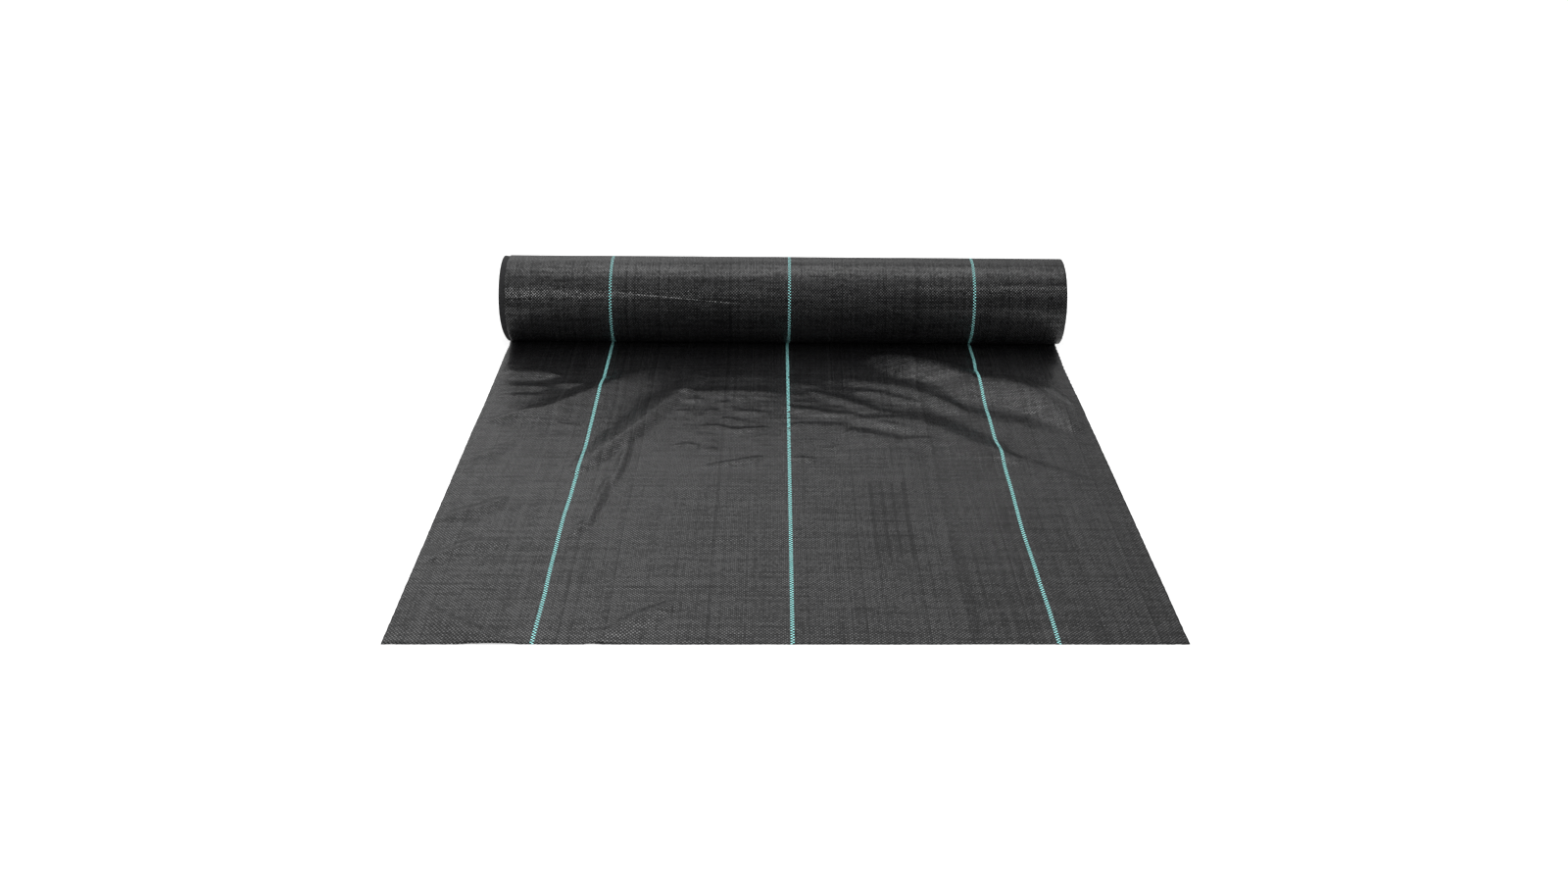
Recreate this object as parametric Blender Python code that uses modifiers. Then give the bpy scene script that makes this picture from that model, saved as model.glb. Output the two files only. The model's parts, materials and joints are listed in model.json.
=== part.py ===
"""Roll of landscape fabric: woven black web wound on a paper tube, its first stretch laid out on the floor.

Metres, +Z up, +X along the roll's axis. The cut front edge of the laid stretch faces -Y. The web runs under
the roll, up its back, over the top and down its front, so the roll shows the web's underside.
The origin is the middle of the whole footprint, on the floor.
"""

import math

import bmesh
import bpy
from mathutils import Vector

# The web: plain-woven polypropylene tape.
fabric_width = 0.9144
laid_length = 0.874
web_thickness = 0.0005

# The roll.
roll_radius = 0.0713
turn_gap = 0.0006
tail_length = 0.010
lap_skew = 0.0076
layer_shift = 0.0016
layer_stand = 0.0020
pack_rim_round = 0.0012

# The paper tube inside it.
tube_bore_radius = 0.019
tube_wall = 0.0035
tube_recess = 0.002
tube_lip = 0.0007

# The teal marker tapes, two side by side on each line.
tape_width = 0.0022
tape_inset = 0.00005
marker_place_shares = (-0.3123, 0.0087, 0.3373)
marker_names = ("left", "centre", "right")

# Clearances and the joins that hold the web's panels together at hidden ends.
fit_gap = 0.0003
bridge_length = 0.006

# Folds of the laid stretch, just in front of the roll.
fold_height = 0.0185
fold_spread = 0.045
fold_flat_cut = 0.0007
fold_clear_length = 0.030
fold_grown_length = 0.120
fold_zone_length = 0.540

# Each fold: height, spread towards the roll, spread away from it, and its crest line as places. A place
# counts across from the middle in widths, then from the roll's contact line in laid lengths.
fold_shares = (
    (1.00, 0.56, 1.00, ((0.131, 0.092), (0.175, 0.105), (0.268, 0.149), (0.328, 0.197),
                        (0.383, 0.220), (0.427, 0.254), (0.470, 0.366))),
    (0.34, 0.44, 0.49, ((0.142, 0.204), (0.219, 0.240), (0.257, 0.270), (0.284, 0.311),
                        (0.383, 0.372), (0.476, 0.446))),
    (0.27, 0.49, 0.44, ((0.120, 0.346), (0.219, 0.372), (0.262, 0.410), (0.328, 0.473), (0.470, 0.589))),
    (0.17, 0.40, 0.40, ((0.009, 0.300), (0.115, 0.381), (0.208, 0.430))),
    (0.57, 0.53, 0.80, ((-0.219, 0.154), (-0.328, 0.272), (-0.377, 0.316), (-0.492, 0.366))),
    (0.43, 0.56, 0.40, ((-0.155, 0.172), (-0.184, 0.246), (-0.237, 0.359), (-0.311, 0.503))),
    (0.12, 0.40, 0.40, ((-0.137, 0.247), (-0.027, 0.247))),
    (0.11, 0.40, 0.40, ((-0.131, 0.372), (-0.033, 0.383))),
)

# Facets.
turn_steps = 56
lap_steps = 64
pack_steps = 64
tube_steps = 48
flat_row_pitch = 0.085
fold_row_pitch = 0.028
fold_column_pitch = 0.044

# Sizes worked out from those above.
half_width = fabric_width / 2
turn_pitch = web_thickness + turn_gap
turn_angle = 2 * math.pi / turn_steps
tape_thickness = web_thickness - 2 * tape_inset
slot_width = 2 * tape_width + 3 * fit_gap
tube_outer_radius = tube_bore_radius + tube_wall
marker_places = [share * fabric_width for share in marker_place_shares]


def lap_radius(angle):
    """Radius of the outer turn's outside at an angle from the contact line; it shrinks as it winds in."""
    return roll_radius - turn_pitch * angle / (2 * math.pi)


def lap_angles():
    """Angles of the outer turn's corners, from the contact line round to its hidden inner end."""
    angles = [turn_angle * step for step in range(lap_steps + 1)]
    return angles + [angles[-1] + bridge_length / roll_radius]


back_reach = max(lap_radius(angle) * math.sin(angle) for angle in lap_angles())
contact_y = (laid_length - back_reach) / 2
front_y = contact_y - laid_length
sheet_back_y = contact_y - tail_length - fit_gap
lap_inner_radius = lap_radius(lap_angles()[-1]) - web_thickness
pack_radius = lap_inner_radius * math.cos(turn_angle / 2) - fit_gap
pack_bore_radius = (tube_outer_radius + fit_gap) / math.cos(math.pi / pack_steps)


def clear_scene():
    for item in list(bpy.data.objects):
        bpy.data.objects.remove(item, do_unlink=True)


def make_material(name, colour, roughness, metallic=0.0):
    material = bpy.data.materials.new(name)
    material.use_nodes = True
    shader = material.node_tree.nodes["Principled BSDF"]
    shader.inputs["Base Color"].default_value = (*colour, 1.0)
    shader.inputs["Roughness"].default_value = roughness
    shader.inputs["Metallic"].default_value = metallic
    material.diffuse_color = (*colour, 1.0)
    return material


def make_empty(name, place, collection):
    empty = bpy.data.objects.new(name, None)
    empty.location = place
    collection.objects.link(empty)
    return empty


def add_object(name, mesh, material, parent, collection):
    """New object of this mesh on its parent empty, at the empty's own place and turn."""
    item = bpy.data.objects.new(name, mesh)
    mesh.materials.append(material)
    item.parent = parent
    collection.objects.link(item)
    return item


def evenly(first, last, cells):
    """Places after first, up to and with last, in equal steps."""
    return [first + (last - first) * step / cells for step in range(1, cells + 1)]


def cells_for(span, pitch):
    return max(1, round(span / pitch))


def web_columns(pitch):
    """Places across the web, and the numbers of the columns that a marker slot follows."""
    columns = [-half_width]
    slots = []
    for centre in marker_places:
        slot_left = centre - slot_width / 2
        columns += evenly(columns[-1], slot_left, cells_for(slot_left - columns[-1], pitch))
        slots.append(len(columns) - 1)
        columns.append(centre + slot_width / 2)
    columns += evenly(columns[-1], half_width, cells_for(half_width - columns[-1], pitch))
    return columns, slots


def surface_mesh(name, columns, rows, place, slots=()):
    """Open surface with a corner at place(column, row) and slots open from the first row to a bridge."""
    last_column = len(columns) - 1
    last_row = len(rows) - 1
    shape = bmesh.new()
    bmesh.ops.create_grid(shape, x_segments=last_column, y_segments=last_row, size=half_width)
    steps = {}
    for corner in shape.verts:
        column = round((corner.co.x + half_width) / fabric_width * last_column)
        row = round((corner.co.y + half_width) / fabric_width * last_row)
        steps[corner] = (column, row)
        corner.co = place(columns[column], rows[row])
    in_slots = []
    for face in shape.faces:
        column = min(steps[corner][0] for corner in face.verts)
        row = min(steps[corner][1] for corner in face.verts)
        if column in slots and row < last_row - 1:
            in_slots.append(face)
    bmesh.ops.delete(shape, geom=in_slots, context="FACES")
    mesh = bpy.data.meshes.new(name)
    shape.to_mesh(mesh)
    shape.free()
    mesh.shade_smooth()
    return mesh


def thicken(item, thickness):
    """Gives a surface its thickness on the side that its faces look to: up, or into the roll."""
    solid = item.modifiers.new("Thickness", "SOLIDIFY")
    solid.thickness = thickness
    solid.offset = 1.0
    solid.use_even_offset = True


def smooth_step(value, low, high):
    part = min(max((value - low) / (high - low), 0.0), 1.0)
    return part * part * (3 - 2 * part)


def crest_line(place_shares):
    """Crest places as (across, distance from the contact line)."""
    return [Vector((x_share * fabric_width, y_share * laid_length)) for x_share, y_share in place_shares]


def crest_offset(spot, crest):
    """Distance of a spot from a crest line, and whether it lies on the side away from the roll."""
    offsets = []
    for start, end in zip(crest, crest[1:]):
        run = end - start
        part = min(max((spot - start).dot(run) / run.length_squared, 0.0), 1.0)
        foot = start + part * run
        offsets.append(((spot - foot).length, spot.y > foot.y))
    return min(offsets)


def fold_lift(x, y):
    """Height of the laid web's underside over the floor."""
    spot = Vector((x, contact_y - y))
    lift = 0.0
    for height_share, roll_share, away_share, place_shares in fold_shares:
        distance, is_away = crest_offset(spot, crest_line(place_shares))
        aside = distance / (fold_spread * (away_share if is_away else roll_share))
        lift += fold_height * height_share * math.exp(-aside * aside)
    lift = max(lift - fold_flat_cut, 0.0)
    return lift * smooth_step(spot.y, fold_clear_length, fold_grown_length)


def sheet_rows():
    """Rows from the cut front edge to the back edge under the roll; the last is the bridge."""
    zone_y = contact_y - fold_zone_length
    bridge_y = sheet_back_y - bridge_length
    rows = [front_y] + evenly(front_y, zone_y, cells_for(zone_y - front_y, flat_row_pitch))
    rows += evenly(zone_y, bridge_y, cells_for(bridge_y - zone_y, fold_row_pitch))
    return rows + [sheet_back_y]


def sheet_place(inset):
    def place(x, y):
        return Vector((x, y, fold_lift(x, y) + inset))

    return place


def lap_rows():
    """Angles of the rows of the outer turn; None is the flat tail's front edge."""
    return [None] + lap_angles()


def lap_place(inset):
    """Places of the outer turn, whose left edge drifts in from the contact line to the roll's back."""

    def place(x, angle):
        if angle is None:
            return Vector((x, contact_y - tail_length, inset))
        radius = lap_radius(angle) - inset
        drift = lap_skew * (half_width - x) / fabric_width * smooth_step(angle, 0.0, math.pi / 2)
        y = contact_y + radius * math.sin(angle)
        return Vector((x + drift, y, roll_radius - radius * math.cos(angle)))

    return place


def least_turn_gap():
    """Least distance from the outer turn's inside to the outside of the web one turn further in."""
    angles = lap_angles()
    outside = [lap_place(0.0)(0.0, angle) for angle in angles]
    inside = [lap_place(web_thickness)(0.0, angle) for angle in angles]
    gaps = []
    for step, point in enumerate(inside):
        for first in range(step + turn_steps // 2, len(outside) - 1):
            run = outside[first + 1] - outside[first]
            part = min(max((point - outside[first]).dot(run) / run.length_squared, 0.0), 1.0)
            gaps.append((point - outside[first] - part * run).length)
    for point in outside[turn_steps // 2:]:
        for first in range(0, len(inside) - turn_steps // 2):
            run = inside[first + 1] - inside[first]
            part = min(max((point - inside[first]).dot(run) / run.length_squared, 0.0), 1.0)
            gaps.append((point - inside[first] - part * run).length)
    return min(gaps)


def tape_sides(centre):
    """The two tapes of one marker line, as the places of their left and right edges."""
    first_left = centre - fit_gap / 2 - tape_width
    second_left = centre + fit_gap / 2
    return ((first_left, first_left + tape_width), (second_left, second_left + tape_width))


def make_tapes(prefix, rows, place, material, parent, collection):
    """Marker tapes woven into the web, each lying in its slot from the first row to the bridge."""
    for name, centre in zip(marker_names, marker_places):
        for number, sides in enumerate(tape_sides(centre), start=1):
            tape_name = f"{prefix}_marker_{name}_{number}"
            mesh = surface_mesh(tape_name, sides, rows, place)
            tape = add_object(tape_name, mesh, material, parent, collection)
            thicken(tape, tape_thickness)


def make_laid_sheet(material, tape_material, parent, collection):
    columns, slots = web_columns(fold_column_pitch)
    mesh = surface_mesh("laid_sheet", columns, sheet_rows(), sheet_place(0.0), slots)
    sheet = add_object("laid_sheet", mesh, material, parent, collection)
    thicken(sheet, web_thickness)
    tape_rows = sheet_rows()[:-1]
    tape_rows[-1] -= fit_gap
    make_tapes("sheet", tape_rows, sheet_place(tape_inset), tape_material, parent, collection)


def make_outer_lap(material, tape_material, parent, collection):
    columns, slots = web_columns(fabric_width)
    mesh = surface_mesh("outer_lap", columns, lap_rows(), lap_place(0.0), slots)
    lap = add_object("outer_lap", mesh, material, parent, collection)
    thicken(lap, web_thickness)
    tape_rows = lap_rows()[:-1]
    tape_rows[-1] -= fit_gap / roll_radius
    make_tapes("lap", tape_rows, lap_place(tape_inset), tape_material, parent, collection)


def turned_mesh(name, profile):
    """Closed profile of (radius, place along the axis), outer side first, from far end to near end."""
    mesh = bpy.data.meshes.new(name)
    shape = bmesh.new()
    corners = [shape.verts.new((radius, 0.0, along)) for radius, along in profile]
    for corner, following in zip(corners, corners[1:] + corners[:1]):
        shape.edges.new((corner, following))
    shape.to_mesh(mesh)
    shape.free()
    return mesh


def add_turn(item, steps):
    turn = item.modifiers.new("Turn", "SCREW")
    turn.axis = "Z"
    turn.steps = steps
    turn.render_steps = steps
    turn.use_merge_vertices = True
    turn.merge_threshold = 0.0001


# Bands of layers across the pack's wall, from the bore outward: where each starts, and how far it is set
# back from the proudest one, as a share of layer_shift.
band_start_shares = (0.0, 0.20, 0.46, 0.63, 0.86)
band_setback_shares = (0.55, 1.0, 0.25, 0.7, 0.0)


def pack_end_profile():
    """Corners of one end face from the rim to the bore: (radius, distance from the middle)."""
    wall = pack_radius - pack_bore_radius
    end = half_width + layer_stand
    starts = [pack_bore_radius + share * wall for share in band_start_shares]
    outers = starts[1:] + [pack_radius - pack_rim_round]
    corners = [(pack_radius, end - pack_rim_round)]
    for start, outer, share in reversed(list(zip(starts, outers, band_setback_shares))):
        place = end - share * layer_shift
        corners += [(outer, place), (start, place)]
    return corners


def make_wound_pack(material, parent, collection):
    """All the layers under the outer turn, wound tight, as one ring with slightly uneven ends."""
    near_end = pack_end_profile()
    profile = [(radius, -place) for radius, place in near_end]
    profile += [(radius, place) for radius, place in reversed(near_end)]
    pack = add_object("wound_pack", turned_mesh("wound_pack", profile), material, parent, collection)
    add_turn(pack, pack_steps)


def make_core_tube(material, parent, collection):
    """Paper tube, open from end to end, with its cut ends burnished to a small bevel."""
    end = half_width - tube_recess
    near_end = [
        (tube_outer_radius, end - tube_lip),
        (tube_outer_radius - tube_lip, end),
        (tube_bore_radius + tube_lip, end),
        (tube_bore_radius, end - tube_lip),
    ]
    profile = [(radius, -place) for radius, place in near_end]
    profile += [(radius, place) for radius, place in reversed(near_end)]
    tube = add_object("core_tube", turned_mesh("core_tube", profile), material, parent, collection)
    add_turn(tube, tube_steps)


def main():
    clear_scene()
    collection = bpy.data.collections.new("landscape_fabric_roll")
    bpy.context.scene.collection.children.link(collection)
    web = make_material("black_woven_web", (0.028, 0.028, 0.030), 0.48)
    teal = make_material("teal_marker_tape", (0.24, 0.60, 0.55), 0.40)
    kraft = make_material("kraft_paper", (0.47, 0.33, 0.20), 0.85)

    laid = make_empty("laid_origin", (0.0, 0.0, 0.0), collection)
    carriage = make_empty("carriage_origin", (0.0, 0.0, 0.0), collection)
    axis = make_empty("roll_axis", (0.0, contact_y, roll_radius), collection)
    axis.rotation_euler = (0.0, math.pi / 2, 0.0)

    make_laid_sheet(web, teal, laid, collection)
    make_outer_lap(web, teal, carriage, collection)
    make_wound_pack(web, axis, collection)
    make_core_tube(kraft, axis, collection)

    print("least gap between turns, mm:", round(least_turn_gap() * 1000, 3))
    print("roll axis y, z, mm:", round(contact_y * 1000, 4), round(roll_radius * 1000, 4))
    print("front edge y, mm:", round(front_y * 1000, 4), "pack radius, mm:", round(pack_radius * 1000, 4))


main()
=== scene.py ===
"""The looks of a roll of landscape fabric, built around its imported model.

Metres, +Z up, +X along the roll's axis. The web is the whole woven fabric: its first stretch lies on the
floor in front of the roll, and its outer turn goes under the roll, up its back, over the top and down its
front. A place in the web is (across, length): across from its middle line and length from its cut front edge.
Angles round the roll are counted from where it touches the floor, up its back.
"""

import json
import math
from types import SimpleNamespace

import bmesh
import bpy
import numpy as np
from mathutils import Matrix, Vector


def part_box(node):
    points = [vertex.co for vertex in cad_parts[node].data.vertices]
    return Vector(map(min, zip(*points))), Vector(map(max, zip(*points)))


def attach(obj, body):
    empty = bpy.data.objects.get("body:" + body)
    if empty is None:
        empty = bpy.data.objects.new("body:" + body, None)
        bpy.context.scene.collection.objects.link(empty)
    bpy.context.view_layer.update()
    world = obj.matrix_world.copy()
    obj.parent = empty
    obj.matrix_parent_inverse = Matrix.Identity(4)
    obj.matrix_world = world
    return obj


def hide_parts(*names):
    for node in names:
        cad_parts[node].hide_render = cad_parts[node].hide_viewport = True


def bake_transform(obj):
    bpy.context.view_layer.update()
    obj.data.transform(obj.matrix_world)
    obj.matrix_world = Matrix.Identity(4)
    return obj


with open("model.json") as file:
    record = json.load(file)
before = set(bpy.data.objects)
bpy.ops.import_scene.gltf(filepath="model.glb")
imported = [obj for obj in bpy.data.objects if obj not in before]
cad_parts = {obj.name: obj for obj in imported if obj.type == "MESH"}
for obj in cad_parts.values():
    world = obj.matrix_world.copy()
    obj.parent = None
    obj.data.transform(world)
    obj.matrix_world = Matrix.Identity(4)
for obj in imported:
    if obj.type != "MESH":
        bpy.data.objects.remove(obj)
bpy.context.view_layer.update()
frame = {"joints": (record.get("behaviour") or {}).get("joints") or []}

# Sizes and places read from the frame.
sheet_low, sheet_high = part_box("laid_sheet")
pack_low, pack_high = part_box("wound_pack")
tube_low, tube_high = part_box("core_tube")
spin = next(joint for joint in frame["joints"] if joint["name"] == "roll_spin")
half_width = sheet_high.x
front_y = sheet_low.y
contact_y = spin["pos_m"][1]
roll_radius = spin["pos_m"][2]
laid_length = contact_y - front_y
pack_radius = (pack_high.z - pack_low.z) / 2
tube_radius = (tube_high.z - tube_low.z) / 2
tube_half_length = tube_high.x

# The web: flat tapes in a plain weave, the warp along the web and the weft across it.
web_thickness = 0.0005
turn_gap = 0.0006
turn_pitch = web_thickness + turn_gap
warp_pitch = 0.0023
weft_pitch = 0.002435
float_height = 0.0003
wefts_per_row = 2
ragged_edge = 0.0005
ragged_front = 0.0006
turns_wound = 1.14
wound_length = turns_wound * 2 * math.pi * roll_radius
lap_end = laid_length + wound_length

# Marker lines: two teal warps side by side in each, left and right of a warp's edge of this number.
marker_names = ("left", "centre", "right")
marker_warps = (-124, 3, 134)
ribbon_half_width = 0.0012
ribbon_thickness = 0.00008
ribbon_middle = 0.00032
ribbon_reach = 0.00036
ribbon_crown = 0.0001
ribbon_roundness = 0.35
ribbon_steps_per_weft = 4

# How far the web's edges and marker lines wander to the right of straight: (distance from the roll, shift).
left_edge_wander = ((0.0, 0.0), (0.04, 0.0026), (0.25, 0.0026), (0.36, 0.0017), (0.90, 0.0013))
left_wander = (
    (0.0, 0.0016), (0.22, 0.0022), (0.30, 0.0006), (0.39, 0.0013), (0.53, -0.0013), (0.60, -0.0032),
    (0.71, -0.0026), (0.78, -0.0012), (0.90, -0.0013),
)
centre_wander = ((0.0, -0.0005), (0.90, -0.0005))
right_wander = (
    (0.0, 0.0040), (0.08, 0.0040), (0.13, 0.0018), (0.185, -0.0024), (0.23, -0.0018), (0.27, -0.0008),
    (0.36, -0.0009), (0.41, 0.0014), (0.50, 0.0006), (0.62, -0.0014), (0.72, 0.0), (0.82, 0.0012),
    (0.90, 0.0012),
)
right_edge_wander = (
    (0.0, 0.0014), (0.05, 0.0), (0.12, -0.0018), (0.24, -0.0008), (0.50, 0.0), (0.90, 0.0011),
)

# Shallow scallops of the right selvedge beside the tall fold: their depth, the length of each, their reach in
# from the selvedge, and where along it they start to fade and end.
scallop_depth = 0.0012
scallop_length = 0.0135
scallop_reach = 0.006
scallop_fade = 0.182
scallop_end = 0.26

# Folds of the laid stretch in millimetres: height, reach towards the roll and away from it, and the points of
# the crest as (across, distance from the roll).
mm_per_metre = 1000
folds = (
    (18.5, 44, 66, (154, 86), (200, 107), (245, 137), (300, 186), (350, 197), (390, 227), (415, 262),
     (430, 320)),
    (3, 14, 18, (132, 74), (158, 81), (186, 93), (214, 110)),
    (3.2, 40, 45, (190, 103), (235, 130), (280, 168)),
    (6.4, 26, 30, (100, 163), (130, 177), (160, 187), (190, 200), (220, 222), (243, 249), (268, 280)),
    (3.4, 11, 17, (112, 203), (130, 210), (155, 222), (185, 240), (210, 250)),
    (3.2, 14, 18, (40, 206), (75, 228), (105, 251), (135, 274), (165, 286)),
    (3.6, 16, 18, (4, 262), (35, 280), (70, 289), (108, 288)),
    (3, 28, 44, (235, 240), (270, 276), (300, 300), (350, 325), (400, 358), (435, 390)),
    (7.2, 40, 55, (118, 305), (150, 311), (200, 324), (225, 345), (250, 370), (275, 396), (300, 412),
     (318, 425)),
    (2.4, 16, 20, (300, 402), (340, 440), (380, 468), (425, 497)),
    (4.5, 45, 20, (408, 90), (412, 140), (420, 190)),
    (3, 18, 22, (10, 327), (34, 330), (60, 331), (100, 326)),
    (7, 24, 80, (92, 342), (114, 358), (138, 374), (170, 384), (214, 380)),
    (1.8, 7, 9, (132, 322), (152, 328), (176, 334)),
    (2.2, 10, 20, (6, 176), (30, 183), (56, 190)),
    (1.4, 7, 10, (55, 164), (80, 168), (100, 180)),
    (1.4, 7, 10, (55, 262), (78, 266), (100, 276)),
    (1.5, 7, 9, (145, 334), (175, 342), (205, 350)),
    (2.6, 8, 9, (12, 430), (30, 433), (48, 438)),
    (1.5, 7, 9, (55, 400), (86, 397)),
    (10.5, 30, 50, (-196, 130), (-216, 146), (-240, 167), (-270, 196), (-300, 230), (-345, 276),
     (-385, 300), (-415, 312)),
    (2.6, 12, 8, (-370, 286), (-410, 304), (-450, 322)),
    (6.6, 14, 28, (-448, 148), (-405, 145), (-358, 150)),
    (2.6, 8, 12, (-362, 188), (-335, 186), (-310, 182)),
    (3.4, 9, 18, (-455, 196), (-410, 198), (-366, 195)),
    (2.4, 9, 18, (-440, 230), (-405, 229), (-378, 226)),
    (8, 32, 14, (-130, 140), (-138, 175), (-155, 215), (-183, 264), (-204, 314), (-225, 356), (-253, 406),
     (-273, 445), (-290, 475)),
    (3.8, 9, 7, (-222, 370), (-227, 440), (-234, 510)),
    (3.8, 10, 7, (-241, 490), (-248, 555), (-255, 604)),
    (3, 9, 10, (-250, 600), (-262, 618), (-274, 642)),
    (2.2, 10, 34, (-155, 153), (-100, 155), (-50, 153), (4, 156)),
    (3.6, 15, 32, (-150, 216), (-100, 215), (-60, 214), (-18, 214)),
    (1.6, 20, 80, (-155, 214), (-80, 212), (0, 212)),
    (1.2, 6, 9, (-80, 236), (-52, 238)),
    (1.3, 6, 9, (-150, 231), (-128, 233)),
    (1.9, 6, 9, (-160, 244), (-140, 242), (-118, 246)),
    (1.7, 6, 9, (-104, 252), (-78, 254)),
    (1.9, 6, 9, (-164, 281), (-138, 281)),
    (1.8, 6, 9, (-118, 279), (-98, 278)),
    (2.1, 6, 9, (-82, 281), (-50, 284), (-26, 283)),
    (1.4, 6, 9, (-96, 305), (-70, 307)),
    (1.9, 6, 9, (-120, 331), (-88, 331)),
    (2.4, 10, 10, (-98, 334), (-70, 344), (-48, 343), (-26, 335)),
    (2.5, 8, 8, (-160, 395), (-138, 392), (-118, 396)),
    (2, 8, 8, (-116, 404), (-92, 408)),
    (1.5, 5, 5, (271, 122), (284, 150), (298, 184)),
    (3, 8, 9, (-114, 456), (-70, 444), (-30, 428)),
    (1.8, 7, 8, (-355, 318), (-325, 330), (-302, 330)),
    (1.2, 8, 12, (-130, 652), (-40, 648)),
    (3.8, 13, 20, (-222, 872), (-172, 826), (-128, 790)),
    (3.8, 14, 24, (-420, 805), (-395, 830), (-350, 858), (-310, 872)),
    (2.2, 12, 18, (-455, 440), (-420, 420), (-390, 385)),
    (3.4, 14, 20, (-455, 600), (-400, 575), (-375, 545)),
    (3.4, 14, 20, (-440, 700), (-400, 665), (-350, 660)),
    (3, 24, 24, (-462, 50), (-462, 135)),
)

# Every fold: how rounded its ridge and foot are, how blunt its tips are and how much faster they narrow than
# they fall, and over what turn about the crest one reach becomes the other.
fold_rounding = 0.25
fold_foot = 0.12
fold_tip = 0.035
fold_point = 1.2
fold_turn = 0.35

# Near the web's edges folds keep a share of their height. Away from the roll they start at the clear length
# and have their whole height from the grown length on.
fold_edge = 0.030
fold_edge_share = 0.25
fold_clear_length = 0.025
fold_grown_length = 0.080

# Small relief. Waves are (seed of their draws, shortest, longest). A stretch is the share of one way that
# counts, which draws the waves out that way.
swell_height = 0.00022
swell_waves = (11, 0.05, 0.22)
wavelet_height = 0.0006
wavelet_waves = (12, 0.013, 0.026)
wavelet_stretch = 0.3
wavelet_crests = (0.15, 0.95)
crumple_height = 0.00013
crumple_waves = (14, 0.008, 0.020)
crumple_stretch = 0.2
ripple_height = 0.00016
ripple_waves = (13, 0.009, 0.018)
ripple_stretch = 0.12
dent_depth = 0.00016
dent_waves = (5, 0.03, 0.25)

# Where small relief lies: where it rises from and to, then where it falls from and to.
wavelets_from_roll = (0.18, 0.22, 0.34, 0.46)
wavelets_across = (-0.19, -0.13, 0.12, 0.22)
ripples_from_roll = (0.40, 0.60)
ripples_across = (0.12, 0.28)
dents_round_roll = np.radians((60, 110, 300, 345))

# Darker lines where the sheet has lain on a grating: lines by place across, rungs by distance from the roll,
# their half width and its full share, the fade at a patch's borders, and how much they darken the web.
grating_start = 0.116
grating_pitch = 0.015
grating_rung_start = 0.530
grating_rung_pitch = 0.036
grating_line = 0.0040
grating_core = 0.2
grating_fade = 0.015
grating_darkness = 0.6

# Where they show: from and to across, from and to away from the roll, and how well lines and rungs show.
grating_patches = ((0.104, 0.180, 0.490, 0.700, 1.0, 1.0), (0.205, 0.285, 0.640, 0.865, 0.4, 0.0))

# The cut front edge isn't square: how far its left end reaches past its right end, the share of the width
# right of the middle where it is in place, and the length of web that makes up for it.
cut_skew = 0.0065
cut_pivot = 0.28
cut_length = 0.05

# A sharp crease in the outer turn, between two places in the web. Its lift counts in float heights.
crease_start = (-0.315, 1.1724)
crease_end = (-0.072, 1.1928)
crease_half_width = 0.0014
crease_fade = 0.02
crease_lift = 0.3
crease_dullness = 0.25
# Painted highlight: the warps along the crease are lightened to this colour as glints of light.
crease_painted_glint = (0.34, 0.34, 0.34, 1.0)

# How far the outer turn lies to the right of the laid web, at its left edge, marker lines and right edge, and
# the angle round the roll by which it has come there.
roll_shifts = (0.0076, 0.0058, 0.0030, 0.0007, 0.0020)
roll_shift_angle = math.radians(75)

# The layers wound on the tube. Each one's edge is a ridge between two grooves, with two shoulders.
layer_count = 92
layer_steps = 96
layer_groove = 0.0004
layer_shoulder_shares = (0.22, 0.78)
layer_clearance = 0.0003
layer_bore = tube_radius + layer_clearance
layer_pitch = (pack_radius - layer_bore) / (layer_count + 1)
layer_stand = 0.0020
layer_sharp_angle = math.radians(40)

# Their edges wander from layer to layer, by a random draw and two slow swings in radians a layer.
layer_wander = 0.0009
layer_scatter = 0.45
first_swing = 0.21
second_swing = 0.53
second_swing_share = 0.6
end_seeds = {-1: 31, 1: 32}

# Both ends, left (-1) and right (1), are drawn in at one side of the roll. At the left end the outermost
# layers stand farther out, where the outer turn leaves them bare.
end_drawn_in = {-1: 0.0046, 1: 0.0020}
drawn_in_angle = math.radians(335)
drawn_in_power = 4
flare_height = 0.0016
flare_depth = 0.006
flare_angles = np.radians((80, 110, 345, 359))

# The paper tube.
tube_wall = 0.0035
tube_plies = 7
ply_step = 0.00025
ply_groove = 0.12
tube_lip = 0.0005
tube_steps = 96
tube_sharp_angle = math.radians(35)

# Noise in the materials: how many swells to a metre or a tape, one way and the other, and detail. Most of its
# values lie within the range.
grain_noise = (9000, 120, 2)
streak_noise = (0.55, 9, 2)
cloud_noise = (9, 6, 4)
pull_noise = (5, 0.42, 3)
dash_noise = (26, 0.52, 1)
mottle_noise = (240, 170, 0)
teal_line_noise = (6000, 90, 3)
wear_noise = (900, 900, 4)
edge_cloud_noise = (60, 60, 2)
noise_range = (0.30, 0.70)
white = (1.0, 1.0, 1.0, 1.0)

# The relief of one tape, in float heights, and the gaps beside it and at its ends, which get painted shade:
# from and to, where 0 is its middle and 1 its edge.
tape_arch = 0.16
tape_side_fall = 0.35
tape_side_power = 6.0
tape_tilt = 0.35
tape_grain = 0.05
side_gap = (0.72, 0.96)
end_gap = (0.70, 1.0)
first_weft_number = 5000.0

# The shade of the web: what counts in it, how far each pattern swings it either way, and what darkens it.
web_colours = ((0.0025, 0.0025, 0.0027, 1.0), (0.024, 0.024, 0.0252, 1.0))
web_tints = ((0.03, 0.03, 0.03, 1.0), white)
own_shade = 0.36
streak_shade = 0.48
crossing_shade = 0.46
pull_swing = 0.36
cloud_swing = 0.16
mottle_swing = 0.22
# Dark dashes along some wefts are painted shade of opened gaps: where the noise makes them, how much they
# darken, and the level between them.
dash_marks = (0.54, 0.64)
dash_painted_shade = 0.42
between_dashes = 1.14
pressed_warps = (0.90, 0.98)
pressed_darkness = 0.35
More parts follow.
